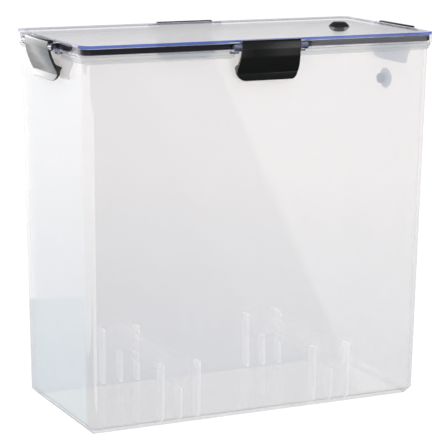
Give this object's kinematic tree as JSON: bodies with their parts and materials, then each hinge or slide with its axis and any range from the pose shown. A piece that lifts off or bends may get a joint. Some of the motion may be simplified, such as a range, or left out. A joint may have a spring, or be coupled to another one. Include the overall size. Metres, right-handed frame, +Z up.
{
  "type": "filament dry box",
  "caption": "Tall airtight box for filament spools: frosted tub with roller sockets, clear lid with seal, side snap latches, rubber outlet plugs and spool rollers.",
  "frame": {"origin": "centre of the base, on the surface the box stands on", "axes": "+X along the long side towards the side outlet, +Y towards the back, +Z up"},
  "size_m": [0.3102, 0.1576, 0.2929],
  "materials": {
    "frosted_tub": "frosted translucent polypropylene",
    "clear_lid": "clear polished plastic with a faint blue edge",
    "black_silicone": "satin black silicone",
    "black_plastic": "satin black moulded plastic",
    "dark_steel": "dark plated steel",
    "black_rubber": "smooth black rubber",
    "natural_plastic": "natural translucent polypropylene"
  },
  "bodies": {
    "tub": {"container_body": "frosted_tub", "left_axle": "natural_plastic", "right_axle": "natural_plastic", "left_front_bush": "natural_plastic", "left_back_bush": "natural_plastic", "right_front_bush": "natural_plastic", "right_back_bush": "natural_plastic"},
    "lid": {"lid": "clear_lid", "lid_gasket": "black_silicone", "front_latch_pin": "dark_steel", "back_latch_pin": "dark_steel", "left_latch_pin": "dark_steel", "right_latch_pin": "dark_steel"},
    "front_latch": {"front_latch": "black_plastic"},
    "back_latch": {"back_latch": "black_plastic"},
    "left_latch": {"left_latch": "black_plastic"},
    "right_latch": {"right_latch": "black_plastic"},
    "lid_plug": {"lid_plug": "black_rubber"},
    "side_plug": {"side_plug": "black_rubber"},
    "left_front_roller": {"left_front_roller": "natural_plastic"},
    "left_back_roller": {"left_back_roller": "natural_plastic"},
    "right_front_roller": {"right_front_roller": "natural_plastic"},
    "right_back_roller": {"right_back_roller": "natural_plastic"}
  },
  "joints": [
    {"name": "lid_lift", "type": "slide", "parent": "tub", "child": "lid", "axis": [0, 0, 1], "range_m": [0, 0.25]},
    {"name": "front_latch_hinge", "type": "hinge", "parent": "lid", "child": "front_latch", "pos_m": [0, -0.0754, 0.2854], "axis": [-1, 0, 0], "range_deg": [0, 110]},
    {"name": "back_latch_hinge", "type": "hinge", "parent": "lid", "child": "back_latch", "pos_m": [0, 0.0754, 0.2854], "axis": [1, 0, 0], "range_deg": [0, 110]},
    {"name": "left_latch_hinge", "type": "hinge", "parent": "lid", "child": "left_latch", "pos_m": [-0.1517, 0, 0.2854], "axis": [0, 1, 0], "range_deg": [0, 110]},
    {"name": "right_latch_hinge", "type": "hinge", "parent": "lid", "child": "right_latch", "pos_m": [0.1517, 0, 0.2854], "axis": [0, -1, 0], "range_deg": [0, 110]},
    {"name": "lid_plug_pull", "type": "slide", "parent": "lid", "child": "lid_plug", "axis": [0, 0, 1], "range_m": [0, 0.02]},
    {"name": "side_plug_pull", "type": "slide", "parent": "tub", "child": "side_plug", "axis": [1, 0, 0], "range_m": [0, 0.02]},
    {"name": "left_front_roller_spin", "type": "hinge", "parent": "tub", "child": "left_front_roller", "pos_m": [-0.0645, -0.0264, 0.0408], "axis": [0, 1, 0], "continuous": true},
    {"name": "left_back_roller_spin", "type": "hinge", "parent": "tub", "child": "left_back_roller", "pos_m": [-0.0645, 0.0264, 0.0408], "axis": [0, 1, 0], "continuous": true},
    {"name": "right_front_roller_spin", "type": "hinge", "parent": "tub", "child": "right_front_roller", "pos_m": [0.0645, -0.0264, 0.0408], "axis": [0, 1, 0], "continuous": true},
    {"name": "right_back_roller_spin", "type": "hinge", "parent": "tub", "child": "right_back_roller", "pos_m": [0.0645, 0.0264, 0.0408], "axis": [0, 1, 0], "continuous": true}
  ]
}
